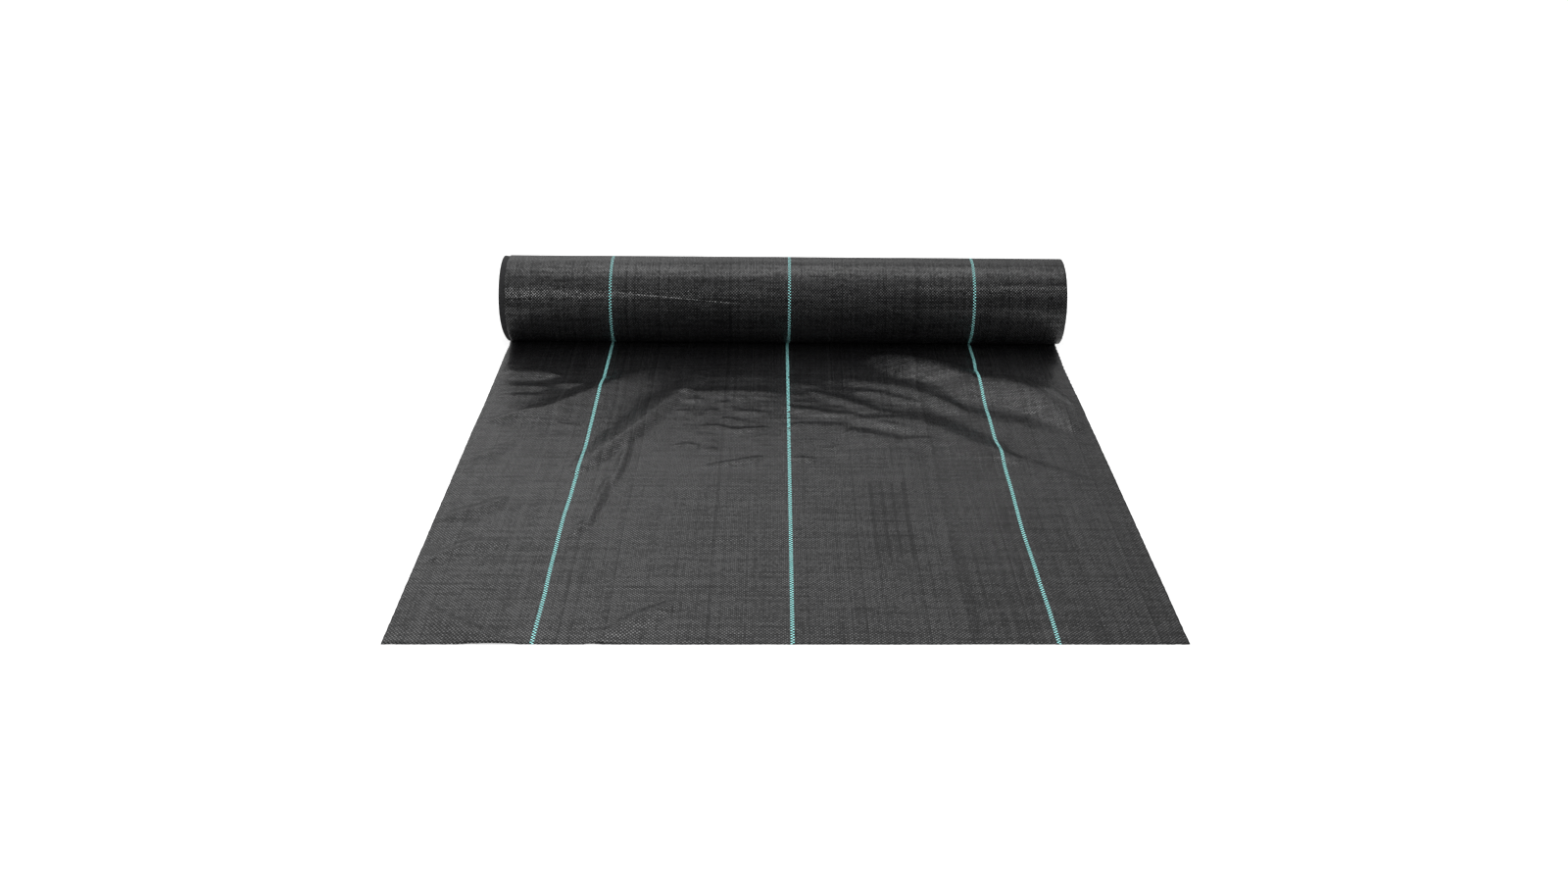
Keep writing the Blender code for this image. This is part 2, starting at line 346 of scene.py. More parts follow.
# Painted light: the warps lighter, as if they caught the light, and the wefts darker, as if the warps shaded
# them.
warp_painted_sheen = 1.15
weft_painted_shade = 0.15
# Painted shade in the gaps beside the tapes and where they dive under their neighbours.
gap_painted_shade = 0.9

# The gloss of the web.
warp_roughness = 0.14
weft_roughness = 0.2
own_roughness = 0.08
cloud_roughness = 0.14
gap_roughness = 0.35
web_gloss = 1.0
web_refraction = 1.6

# The teal tapes.
teal_colours = ((0.28, 0.92, 0.88, 1.0), (0.60, 1.0, 1.0, 1.0))
# Painted shade where a teal tape dives under a weft: its colour, and the span of the dive over which it
# darkens.
teal_dive_painted_shade = (0.004, 0.06, 0.055, 1.0)
teal_dive = (0.60, 0.97)
teal_line_shade = 0.5
teal_crossing_shade = 0.35
teal_roughness = 0.25
teal_line_roughness = 0.2
teal_line_height = 0.00004
teal_refraction = 1.38

# The edges of the wound layers.
edge_colours = ((0.009, 0.009, 0.010, 1.0), (0.034, 0.034, 0.036, 1.0))
edge_worn = (0.45, 0.75)
edge_cloud_shade = 0.5
edge_roughness = 0.5
edge_wear_roughness = 0.25
edge_wear_height = 0.0002
edge_gloss = 0.25

# Kraft paper, with the open seam of its outer ply, whose width counts in leads.
paper_colours = ((0.20, 0.12, 0.065, 1.0), (0.56, 0.41, 0.26, 1.0))
fibre_noise = {"Scale": 700, "Detail": 5}
blotch_noise = {"Scale": 45, "Detail": 2}
fibre_shade = 0.7
blotch_shade = 0.4
fibre_range = (0.2, 0.8)
fibre_roughness = (0.75, 0.95)
fibre_height = 0.25
paper_height = 0.0003
seam_lead = 0.090
seam_width = 0.02
seam_darkness = 0.5

# The photograph's camera.
image_width = 1600
focal_pixels = 1422.2
sensor_width_mm = 36.0
camera_across = -0.01764
camera_distance = 2.1684
camera_height = 0.92597
camera_yaw = math.radians(0.5726)
camera_pitch = math.radians(27.2902)
camera_roll = math.radians(0.5915)

# The studio.
floor_size = 60.0
floor_grey = 0.72
floor_lift = 0.48
floor_gloss_lift = 0.10
world_fill = 0.95
bright_side = (-0.35, 0.70, 0.60)

# How bright the room is in reflections, by how far they look towards the bright side, right and up (twice):
# from and to, and the levels there.
room_facing = (-0.75, 0.55, 0.20, 1.27)
room_across = (-0.32, 0.32, 1.13, 0.50)
room_low = (0.18, 0.40, 0.25, 1.0)
room_high = (0.47, 0.78, 1.0, 0.66)

# Soft rectangular lamps: name, place, the place that each faces, width, depth, and brightness.
roll_middle = (0.0, contact_y, roll_radius)
lamps = (
    ("overhead", (0.08, contact_y + 0.60, 2.3), (0.08, contact_y + 0.3, 0.0), 1.85, 1.5, 1.9),
    ("key_left", (-1.06, contact_y - 2.4, 1.60), roll_middle, 0.26, 0.90, 12.0),
    ("key_right", (1.0, contact_y - 1.8, 2.5), roll_middle, 0.36, 0.40, 9.0),
)


def smooth_step(value, low, high):
    """0 up to low and 1 from high on, with a smooth rise between."""
    part = np.clip((value - low) / (high - low), 0.0, 1.0)
    return part * part * (3 - 2 * part)


def within(value, rise_start, rise_end, fall_start, fall_end):
    """1 between the rise and the fall, and 0 outside them."""
    return smooth_step(value, rise_start, rise_end) * (1 - smooth_step(value, fall_start, fall_end))


def eased(place, table):
    """Value at a place in a table of (place, value), easing from one entry to the next."""
    places, values = (np.array(column) for column in zip(*table))
    step = np.clip(np.searchsorted(places, place) - 1, 0, len(places) - 2)
    part = smooth_step(place, places[step], places[step + 1])
    return values[step] + part * (values[step + 1] - values[step])


def relief(across, length, seed, shortest, longest, count=40):
    """Gentle random relief from -1 to 1, from a sum of waves whose slopes are alike."""
    pick = np.random.default_rng(seed)
    total = np.zeros(np.broadcast(across, length).shape)
    for _ in range(count):
        wave = shortest * (longest / shortest) ** pick.random()
        turn, phase = pick.uniform(0, 2 * math.pi, 2)
        run = across * math.cos(turn) + length * math.sin(turn)
        total += wave * np.sin(2 * math.pi * run / wave + phase)
    return np.tanh(total / (longest * math.sqrt(count) / 2))


def marker_place(name):
    """Middle of a marker line across the web, halfway between its two tapes in the frame."""
    _, first_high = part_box(f"sheet_marker_{name}_1")
    second_low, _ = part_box(f"sheet_marker_{name}_2")
    return (first_high.x + second_low.x) / 2


# The five lines along the web whose shift to the right is known: its edges and the marker lines.
marker_edges = [number * warp_pitch for number in marker_warps]
marker_shifts = [marker_place(name) - edge for name, edge in zip(marker_names, marker_edges)]
line_places = (-half_width, *marker_edges, half_width)
line_shifts = (0.0, *marker_shifts, 0.0)
line_wanders = (left_edge_wander, left_wander, centre_wander, right_wander, right_edge_wander)


def thread_shift(across, from_roll):
    """How far the web's warps lie to the right of straight."""
    total = np.zeros(np.broadcast(across, from_roll).shape)
    for place, shift, wander in zip(line_places, line_shifts, line_wanders):
        share = np.interp(across, line_places, [float(other == place) for other in line_places])
        total += share * (shift + eased(from_roll, wander))
    return total


def crest_distance(x, from_roll, crest):
    """Distance from a crest line, the share of its run passed at the nearest point, and the way from there: 1
    is straight away from the roll and -1 straight towards it."""
    nearest = np.full(x.shape, np.inf)
    passed = np.zeros(x.shape)
    beyond = np.zeros(x.shape)
    for number, (start, end) in enumerate(zip(crest, crest[1:])):
        run_x, run_y = end[0] - start[0], end[1] - start[1]
        part = ((x - start[0]) * run_x + (from_roll - start[1]) * run_y) / (run_x**2 + run_y**2)
        part = np.clip(part, 0.0, 1.0)
        aside_x = x - start[0] - part * run_x
        aside_y = from_roll - start[1] - part * run_y
        distance = np.hypot(aside_x, aside_y)
        closer = distance < nearest
        nearest = np.where(closer, distance, nearest)
        passed = np.where(closer, (number + part) / (len(crest) - 1), passed)
        beyond = np.where(closer, aside_y / np.maximum(distance, 1e-6), beyond)
    return nearest, passed, beyond


def fold_gap(x, from_roll, fold):
    """Height of one fold, which falls away from its crest as a tent with a rounded ridge and foot."""
    fold_height, roll_reach, front_reach = np.array(fold[:3]) / mm_per_metre
    crest = np.array(fold[3:]) / mm_per_metre
    aside, passed, beyond = crest_distance(x, from_roll, crest)
    reach = roll_reach + (front_reach - roll_reach) * smooth_step(beyond, -fold_turn, fold_turn)
    taper = np.sqrt(np.sin(math.pi * (fold_tip + (1 - 2 * fold_tip) * passed)))
    rounding = fold_rounding * roll_reach
    left = 1 - (np.hypot(aside, rounding) - rounding) / (reach * taper**fold_point)
    left = (left + np.hypot(left, fold_foot)) / (1 + math.hypot(1, fold_foot))
    return fold_height * taper * left


def floor_gap(x, from_roll):
    """Height of the laid web's underside over the floor."""
    height = np.zeros(x.shape)
    for fold in folds:
        height = height + fold_gap(x, from_roll, fold)
    held_flat = smooth_step(np.abs(x), half_width - fold_edge, half_width)
    height = height * (1 - (1 - fold_edge_share) * held_flat)
    swell = relief(x, from_roll, *swell_waves)
    wavelets = smooth_step(relief(wavelet_stretch * x, from_roll, *wavelet_waves), *wavelet_crests)
    wavelets = wavelets * within(from_roll, *wavelets_from_roll) * within(x, *wavelets_across)
    crumple = relief(crumple_stretch * x, from_roll, *crumple_waves)
    ripples = 1 + relief(x, ripple_stretch * from_roll, *ripple_waves)
    ripples = ripples * smooth_step(from_roll, *ripples_from_roll) * smooth_step(x, *ripples_across)
    height += swell_height * (1 + swell) + wavelet_height * wavelets
    height += crumple_height * (1 + crumple) + ripple_height * ripples
    return height * smooth_step(from_roll, fold_clear_length, fold_grown_length)


def laid_place(across, length, lift):
    """Point of the laid web, at a height over its underside."""
    from_roll = laid_length - length
    scallop = np.abs(np.sin(math.pi * from_roll / scallop_length))
    scallop = scallop * (1 - smooth_step(from_roll, scallop_fade, scallop_end))
    scallop = scallop * smooth_step(across, half_width - scallop_reach, half_width)
    x = across + thread_shift(across, from_roll) - scallop_depth * scallop
    skewed = smooth_step(from_roll, laid_length - cut_length, laid_length)
    y = front_y + length + cut_skew * (across / (2 * half_width) - cut_pivot) * skewed
    return np.stack([x, y, floor_gap(x, from_roll) + lift], axis=-1)


def round_roll(x, radius, angle):
    """Point at a radius from the roll's axis and an angle round it."""
    return np.stack([x, contact_y + radius * np.sin(angle), roll_radius - radius * np.cos(angle)], axis=-1)


def roll_place(across, length, inward):
    """Point of the outer turn, at a depth under the side that faces out."""
    angle = (length - laid_length) / roll_radius
    shifted = smooth_step(angle, 0.0, roll_shift_angle)
    shift = np.interp(across, line_places, roll_shifts)
    x = across + thread_shift(across, 0.0) * (1 - shifted) + shift * shifted
    dents = dent_depth * within(angle, *dents_round_roll) * (1 + relief(across, length, *dent_waves))
    radius = roll_radius - turn_pitch * angle / (2 * math.pi) + dents - inward
    return round_roll(x, radius, angle)


def strip(low, high):
    """Faces between one line of point numbers and the next, or between two stacks of such lines."""
    return np.stack([low[..., :-1], low[..., 1:], high[..., 1:], high[..., :-1]], axis=-1)


def hoop(low, high):
    """Faces between one closed loop of point numbers and another."""
    return strip(np.append(low, low[0]), np.append(high, high[0]))


def new_mesh(name, points, faces, materials):
    mesh = bpy.data.meshes.new(name)
    mesh.from_pydata(points.reshape(-1, 3).tolist(), [], faces.tolist())
    for material in materials:
        mesh.materials.append(material)
    mesh.shade_smooth()
    return mesh


def map_to_web(mesh, faces, across, length):
    """Writes each point's place in the web as the UV map that the materials read, in metres."""
    places = np.stack([across, length], axis=-1).reshape(-1, 2)
    layer = mesh.uv_layers.new(name="web")
    layer.data.foreach_set("uv", places[faces.ravel()].ravel().astype(np.float32))


def face_out(mesh):
    """Turns all faces of a closed mesh outwards."""
    shape = bmesh.new()
    shape.from_mesh(mesh)
    bmesh.ops.recalc_face_normals(shape, faces=shape.faces)
    shape.to_mesh(mesh)
    shape.free()


def put_in_scene(name, data):
    """New object with this mesh, lamp or camera."""
    item = bpy.data.objects.new(name, data)
    bpy.context.scene.collection.objects.link(item)
    return item


def skin(name, points, across, length, material, thickness, offset):
    """Piece with a thickness along a grid of points: with offset 1 above the laid web's grid and inside the
    outer turn's, and with offset 0 half on either side."""
    numbers = np.arange(across.size).reshape(across.shape)
    faces = strip(numbers[:-1], numbers[1:]).reshape(-1, 4)
    mesh = new_mesh(name, points, faces, [material])
    map_to_web(mesh, faces, across, length)
    item = put_in_scene(name, mesh)
    solid = item.modifiers.new("Thickness", "SOLIDIFY")
    solid.thickness = thickness
    solid.offset = offset
    solid.use_even_offset = True
    return item


def web_grid(first, last):
    """Grid of places in the web, a column to each warp and a row to every other weft."""
    columns = round(2 * half_width / warp_pitch)
    rows = round((last - first) / weft_pitch / wefts_per_row)
    across = np.linspace(-half_width, half_width, columns + 1)
    length = np.linspace(first, last, rows + 1)
    return np.meshgrid(across, length)


def ragged_edges(points, seed):
    """Draws the wefts' turns at the two selvedges in a little, each its own way."""
    pick = np.random.default_rng(seed)
    points[:, 0, 0] += pick.uniform(0.0, ragged_edge, len(points))
    points[:, -1, 0] -= pick.uniform(0.0, ragged_edge, len(points))


def add_laid_web(material):
    """The laid stretch, with a ragged cut edge in front."""
    across, length = web_grid(0.0, laid_length)
    points = laid_place(across, length, 0.0)
    ragged_edges(points, seed=21)
    points[0, :, 1] += np.random.default_rng(22).uniform(0.0, ragged_front, points.shape[1])
    return skin("laid_web", points, across, length, material, web_thickness, 1.0)


def add_roll_web(material):
    """The outer turn, with its map moved by one weft, because its other side shows."""
    across, length = web_grid(laid_length, lap_end)
    points = roll_place(across, length, 0.0)
    ragged_edges(points, seed=23)
    return skin("roll_web", points, across, length + weft_pitch, material, web_thickness, 1.0)


def add_ribbon(name, warp, first, last, place, material):
    """One teal warp, weaving over and under the wefts from first to last."""
    steps = round((last - first) / weft_pitch * ribbon_steps_per_weft)
    side, length = np.meshgrid((-1.0, 0.0, 1.0), np.linspace(first, last, steps + 1))
    swing = np.cos(math.pi * (length / weft_pitch - 0.5 - warp))
    swing = np.sign(swing) * np.abs(swing) ** ribbon_roundness
    aside = side * ribbon_half_width
    lift = ribbon_middle + (ribbon_reach - ribbon_crown * side**2) * swing
    points = place((warp + 0.5) * warp_pitch + aside, length, lift)
    return skin(name, points, aside, length, material, ribbon_thickness, 0.0)


def add_ribbons(prefix, first, last, place, material):
    """The ribbons of all marker lines on one stretch of the web, each standing for its tape in the frame."""
    ribbons = []
    for name, edge_warp in zip(marker_names, marker_warps):
        for number, warp in enumerate((edge_warp - 1, edge_warp), start=1):
            ribbon = add_ribbon(f"{prefix}_ribbon_{name}_{number}", warp, first, last, place, material)
            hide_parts(f"{prefix}_marker_{name}_{number}")
            ribbons.append(ribbon)
    return ribbons


def flare(angle, radius, side):
    """How much farther out the outermost layers stand at the left end."""
    bare = within(np.mod(angle, 2 * math.pi), *flare_angles)
    return flare_height * bare * smooth_step(radius, pack_radius - flare_depth, pack_radius) * (side < 0)


def layer_edge(turns, share, depth, side):
    """Points on one end of the wound layers, at counts of turns from the bore, a share of the way through the
    layer there and a depth under its edge."""
    counts = np.arange(layer_count + 3)
    scatter = np.random.default_rng(end_seeds[side]).normal(0.0, layer_scatter, len(counts))
    swing = np.sin(counts * first_swing + side) + second_swing_share * np.sin(counts * second_swing)
    wander = layer_wander * np.interp(turns + share, counts, (scatter + swing) / 2)
    angle = 2 * math.pi * turns
    drawn_in = end_drawn_in[side] * np.maximum(0.0, np.cos(angle - drawn_in_angle)) ** drawn_in_power
    radius = layer_bore + layer_pitch * (turns + share)
    radius = radius + flare(angle, radius, side)
    return round_roll(side * (half_width + layer_stand + wander - depth - drawn_in), radius, angle)


def wound_end(side, first_number):
    """One end of the wound layers: its points, its faces, and the loops of points round its bore and rim."""
    last = layer_count * layer_steps
    turns = np.arange(last + layer_steps + 1) / layer_steps
    lines = [layer_edge(turns, 0.0, layer_groove, side)]
    for share in layer_shoulder_shares:
        lines.append(layer_edge(turns[: last + 1], share, 0.0, side))
    starts = np.cumsum([first_number] + [len(line) for line in lines])
    groove, inner, outer = (start + np.arange(len(line)) for start, line in zip(starts, lines))
    rows = (groove[: last + 1], inner, outer, groove[layer_steps:])
    faces = [strip(low, high) for low, high in zip(rows, rows[1:])]
    bore_loop = np.array([*groove[: layer_steps + 1], outer[0], inner[0]])
    rim_loop = np.array([*groove[last:], outer[-1], inner[-1]])
    return np.concatenate(lines), np.concatenate(faces), bore_loop, rim_loop


def collar(rim):
    """Points round the pack at the outer turn's left edge, one for each point of the left rim."""
    axis = (contact_y, roll_radius)
    spokes = rim[:, 1:] - axis
    spokes *= pack_radius / np.hypot(spokes[:, :1], spokes[:, 1:])
    return np.column_stack([np.full(len(rim), roll_shifts[0] - half_width), spokes + axis])


def add_wound_layers(web, edges):
    """All the layers under the outer turn, one unbroken spiral whose edges show at both ends."""
    left_points, left_faces, left_bore, left_rim = wound_end(-1, 0)
    right_points, right_faces, right_bore, right_rim = wound_end(1, len(left_points))
    collar_points = collar(left_points[left_rim])
    collar_loop = np.arange(len(collar_points)) + len(left_points) + len(right_points)
    points = np.concatenate([left_points, right_points, collar_points])
    end_faces = np.concatenate([left_faces, right_faces, hoop(left_rim, collar_loop)])
    side_faces = np.concatenate([hoop(left_bore, right_bore), hoop(collar_loop, right_rim)])
    faces = np.concatenate([end_faces, side_faces])
    mesh = new_mesh("wound_layers", points, faces, [web, edges])
    slots = np.concatenate([np.ones(len(end_faces)), np.zeros(len(side_faces))])
    mesh.polygons.foreach_set("material_index", slots.astype(np.int32))
    around = np.arctan2(points[:, 1] - contact_y, roll_radius - points[:, 2]) * pack_radius
    map_to_web(mesh, faces, points[:, 0], around)
    face_out(mesh)
    mesh.set_sharp_from_angle(angle=layer_sharp_angle)
    return put_in_scene("wound_layers", mesh)


def tube_profile():
    """Corners of the tube's wall at one end, from the outside to the bore: radius and depth from the end."""
    corners = [(tube_radius, tube_lip)]
    for ply in range(tube_plies):
        outer = tube_radius - tube_wall * (ply + ply_groove) / tube_plies
        inner = tube_radius - tube_wall * (ply + 1 - ply_groove) / tube_plies
        depth = ply_step * (ply % 2)
        corners += [(outer, depth), (inner, depth)]
    return corners + [(tube_radius - tube_wall, tube_lip)]


def add_paper_tube(material):
    """Spiral-wound paper tube, open from end to end, with the edges of its plies showing at both ends."""
    profile = [(radius, depth - tube_half_length) for radius, depth in tube_profile()]
    profile += [(radius, tube_half_length - depth) for radius, depth in reversed(tube_profile())]
    profile = np.array(profile)
    around = 2 * math.pi * np.arange(tube_steps) / tube_steps
    radius, x, angle = np.broadcast_arrays(profile[:, :1], profile[:, 1:], around)
    rings = np.arange(x.size).reshape(x.shape)
    faces = [hoop(ring, following) for ring, following in zip(rings, np.roll(rings, -1, axis=0))]
    mesh = new_mesh("paper_tube", round_roll(x, radius, angle), np.concatenate(faces), [material])
    face_out(mesh)
    mesh.set_sharp_from_angle(angle=tube_sharp_angle)
    return put_in_scene("paper_tube", mesh)


class Recipe:
    """The nodes of one material or world, in short words."""

    def __init__(self, owner, shader):
        owner.use_nodes = True
        self.owner = owner
        self.tree = owner.node_tree
        self.shader = self.tree.nodes[shader]

    def put(self, socket, value):
        if isinstance(value, bpy.types.NodeSocket):
            self.tree.links.new(value, socket)
        else:
            socket.default_value = value

    def add(self, kind, inputs=(), **settings):
        node = self.tree.nodes.new(kind)
        for setting, value in settings.items():
            setattr(node, setting, value)
        for name, value in dict(inputs).items():
            self.put(node.inputs[name], value)
        return node

    def dress(self, inputs):
        """Gives the shader its inputs, and returns the material or world."""
        for name, value in inputs.items():
            self.put(self.shader.inputs[name], value)
        return self.owner

    def maths(self, operation, *values):
        node = self.add("ShaderNodeMath", operation=operation)
        for socket, value in zip(node.inputs, values):
            self.put(socket, value)
        return node.outputs[0]

    def product(self, total, *factors):
        for factor in factors:
            total = self.maths("MULTIPLY", total, factor)
        return total

    def weighed(self, total, *parts):
        """A total with more parts added, each a value and its weight."""
        for value, weight in parts:
            total = self.maths("MULTIPLY_ADD", value, weight, total)
        return total

    def blend(self, share, first, second):
        """First where share is 0, second where it is 1."""
        inputs = {"Factor": share, "A": first, "B": second}
        return self.add("ShaderNodeMix", inputs).outputs[0]

    def tint(self, share, first, second):
        """As blend, for colours."""
        node = self.add("ShaderNodeMix", data_type="RGBA")
        for socket, value in zip((node.inputs[0], node.inputs[6], node.inputs[7]), (share, first, second)):
            self.put(socket, value)
        return node.outputs[2]

    def ramp(self, value, low, high, start=0.0, end=1.0):
        """Start up to low and end from high on, with a smooth change between."""
        inputs = {"Value": value, "From Min": low, "From Max": high, "To Min": start, "To Max": end}
        return self.add("ShaderNodeMapRange", inputs, interpolation_type="SMOOTHSTEP").outputs[0]

    def swing(self, noise, amount):
        """A factor that a noise swings about 1, by an amount either way."""
        return self.ramp(noise, *noise_range, 1 - amount, 1 + amount)

    def centred(self, count):
        """-1 to 1 from each whole number of a count to the next."""
        return self.weighed(-1.0, (self.maths("FRACT", count), 2.0))

    def chance(self, *values):
        """Random number from 0 to 1 that stays the same wherever the values do. The last value is a plain
        number that tells one draw from another."""
        vector = self.add("ShaderNodeCombineXYZ")
        for socket, value in zip(vector.inputs, values):
            self.put(socket, value)
        return self.add("ShaderNodeTexWhiteNoise", {"Vector": vector.outputs[0]}).outputs["Value"]

    def noise(self, x, y, x_swells, y_swells, detail):
        """Smooth noise from 0 to 1 over two places, each with its own number of swells in one unit."""
        vector = self.add("ShaderNodeCombineXYZ")
        self.put(vector.inputs[0], self.maths("MULTIPLY", x, x_swells))
        self.put(vector.inputs[1], self.maths("MULTIPLY", y, y_swells))
        inputs = {"Vector": vector.outputs[0], "Scale": 1.0, "Detail": detail}
        return self.add("ShaderNodeTexNoise", inputs).outputs[0]

    def split(self, vector):
        return self.add("ShaderNodeSeparateXYZ", {"Vector": vector}).outputs

    def place(self):
        """The place in the web: across and length."""
        parts = self.split(self.add("ShaderNodeUVMap", uv_map="web").outputs[0])
        return parts[0], parts[1]

    def bump(self, height, distance):
        inputs = {"Height": height, "Distance": distance}
        return self.add("ShaderNodeBump", inputs).outputs[0]


def material_recipe(name):
    return Recipe(bpy.data.materials.new(name), "Principled BSDF")


def grating_marks(recipe, place, start, pitch):
    """1 on lines at an even pitch along one way of the web, else 0."""
    turn = recipe.maths("MULTIPLY_ADD", place, 1 / pitch, 0.5 - start / pitch)
    aside = recipe.maths("ABSOLUTE", recipe.maths("SUBTRACT", recipe.maths("FRACT", turn), 0.5))
    return recipe.ramp(aside, grating_core * grating_line / pitch, grating_line / pitch, 1.0, 0.0)


def grating_share(recipe, across, length):
    """1 on the darker lines that a grating has left in patches of the sheet, else 0."""
    from_roll = recipe.maths("SUBTRACT", laid_length, length)
    lines = grating_marks(recipe, across, grating_start, grating_pitch)
    rungs = grating_marks(recipe, from_roll, grating_rung_start, grating_rung_pitch)
    total = 0.0
    for left, right, near, far, line_share, rung_share in grating_patches:
        marks = (recipe.maths("MULTIPLY", lines, line_share), recipe.maths("MULTIPLY", rungs, rung_share))
        share = recipe.maths("MAXIMUM", *marks)
        for place, low, high in ((across, left, right), (from_roll, near, far)):
            rise = recipe.ramp(place, low, low + grating_fade)
            fall = recipe.ramp(place, high - grating_fade, high, 1.0, 0.0)
            share = recipe.product(share, rise, fall)
        total = recipe.maths("ADD", total, share)
    return total


def crease_share(recipe, across, length):
    """1 along the middle of the one sharp crease on the roll, easing to 0 beside it."""
    lean = (crease_end[1] - crease_start[1]) / (crease_end[0] - crease_start[0])
    line = recipe.maths("MULTIPLY_ADD", across, lean, crease_start[1] - lean * crease_start[0])
    aside = recipe.maths("ABSOLUTE", recipe.maths("SUBTRACT", length, line))
    return recipe.product(
        recipe.ramp(aside, 0.0, crease_half_width, 1.0, 0.0),
        recipe.ramp(across, crease_start[0], crease_start[0] + crease_fade),
        recipe.ramp(across, crease_end[0] - crease_fade, crease_end[0], 1.0, 0.0),
    )


def woven_spot(recipe):
    """What the web's material knows of a spot: its place, the numbers of its warp and weft, which one shows,
    that tape's number, the way along it, and -1 to 1 from side to side and from dive to dive."""
    across, length = recipe.place()
    warp = recipe.maths("DIVIDE", across, warp_pitch)
    weft = recipe.maths("DIVIDE", length, weft_pitch)
    warp_number = recipe.maths("FLOOR", warp)
    weft_number = recipe.maths("FLOOR", weft)
    over_warp = recipe.centred(warp)
    over_weft = recipe.centred(weft)
    weft_shows = recipe.maths("FLOORED_MODULO", recipe.maths("ADD", warp_number, weft_number), 2.0)
    return SimpleNamespace(
        across=across,
        length=length,
        warp=warp_number,
        weft=weft_number,
        weft_shows=weft_shows,
        tape=recipe.blend(weft_shows, warp_number, recipe.maths("ADD", weft_number, first_weft_number)),
        along=recipe.blend(weft_shows, length, across),
        side=recipe.blend(weft_shows, over_warp, over_weft),
        run=recipe.blend(weft_shows, over_weft, over_warp),
    )


def tape_height(recipe, spot, crease):
    """Height of a spot: its tape is arched, falls off at its sides, is tipped its own way where it crosses
    another, and has a fine grain along it."""
    lean = recipe.maths("SUBTRACT", recipe.chance(spot.warp, spot.weft, 2.0), 0.5)
    tip = recipe.maths("SUBTRACT", recipe.chance(spot.warp, spot.weft, 3.0), 0.5)
    return recipe.weighed(
        0.0,
        (recipe.maths("POWER", recipe.maths("ABSOLUTE", spot.run), 2.0), -tape_arch),
        (recipe.maths("POWER", recipe.maths("ABSOLUTE", spot.side), tape_side_power), -tape_side_fall),
        (recipe.maths("MULTIPLY", lean, spot.side), tape_tilt),
        (recipe.maths("MULTIPLY", tip, spot.run), tape_tilt),
        (recipe.noise(recipe.maths("MULTIPLY", spot.side, warp_pitch), spot.along, *grain_noise), tape_grain),
        (crease, crease_lift),
    )


def tape_gap(recipe, spot):
    """0 on a tape, and 1 in the gaps beside it and where it dives under its neighbours, which get painted
    shade.
    """
    beside = recipe.ramp(recipe.maths("ABSOLUTE", spot.side), *side_gap)
    ends = recipe.ramp(recipe.maths("ABSOLUTE", spot.run), *end_gap)
    return recipe.maths("MAXIMUM", beside, ends)


def tape_shade(recipe, spot, own, crossing, cloud, gap):
    """How light a spot is: each tape and crossing has its own shade, in streaks, pulled bands, dashes and
    mottles, with a few warps pressed dull; the dashes, gaps and wefts get painted shade, the warps a painted
    sheen."""
    streak = recipe.noise(spot.tape, spot.along, *streak_noise)
    pull = recipe.noise(spot.across, spot.weft, *pull_noise)
    dash = recipe.ramp(recipe.noise(spot.across, spot.weft, *dash_noise), *dash_marks)
    pressed = recipe.ramp(recipe.chance(spot.warp, 9.0), *pressed_warps)
    mottle = recipe.noise(spot.across, spot.length, *mottle_noise)
    grid_darkening = grating_share(recipe, spot.across, spot.length)
    # Painted shade on the dashes, wefts and gaps, and a painted sheen on the warps, go into this product.
    return recipe.product(
        recipe.weighed(0.0, (streak, streak_shade), (own, own_shade), (crossing, crossing_shade)),
        recipe.swing(pull, pull_swing),
        recipe.swing(cloud, cloud_swing),
        recipe.swing(mottle, mottle_swing),
        recipe.weighed(between_dashes, (dash, -dash_painted_shade)),
        recipe.weighed(1.0, (pressed, -pressed_darkness)),
        recipe.blend(spot.weft_shows, warp_painted_sheen, weft_painted_shade),
        recipe.weighed(1.0, (gap, -gap_painted_shade)),
        recipe.weighed(1.0, (grid_darkening, -grating_darkness)),
    )


def web_material():
    """Black polypropylene tapes in a plain weave, taut glossy warps and flatter, duller wefts, the warps
    lightened with a painted sheen and the wefts darkened with painted shade.
    """
    recipe = material_recipe("black_woven_tape")
    spot = woven_spot(recipe)
    own = recipe.chance(spot.tape, 1.0)
    crossing = recipe.chance(spot.warp, spot.weft, 6.0)
    cloud = recipe.noise(spot.across, spot.length, *cloud_noise)
    gap = tape_gap(recipe, spot)
    crease = crease_share(recipe, spot.across, spot.length)
    shade = tape_shade(recipe, spot, own, crossing, cloud, gap)
    warp_shows = recipe.maths("SUBTRACT", 1.0, spot.weft_shows)
    # Painted glints on the warps along the crease.
    painted_glints = recipe.product(crease, warp_shows, crossing)
    roughness = recipe.weighed(
        recipe.blend(spot.weft_shows, warp_roughness, weft_roughness),
        (own, own_roughness),
        (cloud, cloud_roughness),
        (gap, gap_roughness),
        (crease, crease_dullness),
    )
    return recipe.dress({
        "Base Color": recipe.tint(painted_glints, recipe.tint(shade, *web_colours), crease_painted_glint),
        "Roughness": roughness,
        "Specular Tint": recipe.tint(shade, *web_tints),
        "Normal": recipe.bump(tape_height(recipe, spot, crease), float_height),
        "IOR": web_refraction,
        "Specular IOR Level": web_gloss,
    })


